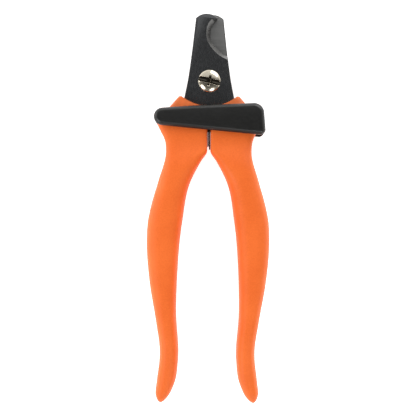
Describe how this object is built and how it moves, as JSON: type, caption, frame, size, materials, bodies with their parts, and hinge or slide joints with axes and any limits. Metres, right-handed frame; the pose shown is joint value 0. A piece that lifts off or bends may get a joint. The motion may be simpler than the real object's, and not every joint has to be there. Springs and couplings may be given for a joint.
{
  "type": "pet nail trimmer",
  "caption": "Plier-type pet nail trimmer with moulded grips, crossing notched blades, a leaf return spring and a swinging lock loop over the shoulders.",
  "frame": {"origin": "middle of the bounding box's underside, where the tool lies on its back", "axes": "+Y along the tool from the grips' toes to the blade tips, +Z out of the front face, +X towards the right grip"},
  "size_m": [0.052, 0.1646, 0.016],
  "materials": {
    "orange_plastic": "matte, finely pebbled",
    "blade_steel": "dark, finely ground",
    "plated_steel": "bright nickel",
    "spring_steel": "dark, oiled",
    "black_plastic": "smooth satin",
    "pin_steel": "ground"
  },
  "bodies": {
    "left_half": {"left_grip": "orange_plastic", "rear_blade": "blade_steel", "pivot_screw": "plated_steel", "pivot_washer": "plated_steel", "pivot_nut": "plated_steel", "return_spring": "spring_steel", "lock_pin": "pin_steel"},
    "right_half": {"right_grip": "orange_plastic", "front_blade": "blade_steel"},
    "lock": {"lock_loop": "black_plastic"}
  },
  "joints": [
    {"name": "jaw_opening", "type": "hinge", "parent": "left_half", "child": "right_half", "pos_m": [0, 0.0536, 0.008], "axis": [0, 0, 1], "range_deg": [0, 18], "deforming": ["return_spring"]},
    {"name": "lock_swing", "type": "hinge", "parent": "left_half", "child": "lock", "pos_m": [-0.01935, 0.0379, 0.008], "axis": [0, 0, 1], "range_deg": [0, 43.3]}
  ],
  "couplings": [
    {"joint": "lock_swing", "follows": "jaw_opening", "ratio": 2.4}
  ]
}
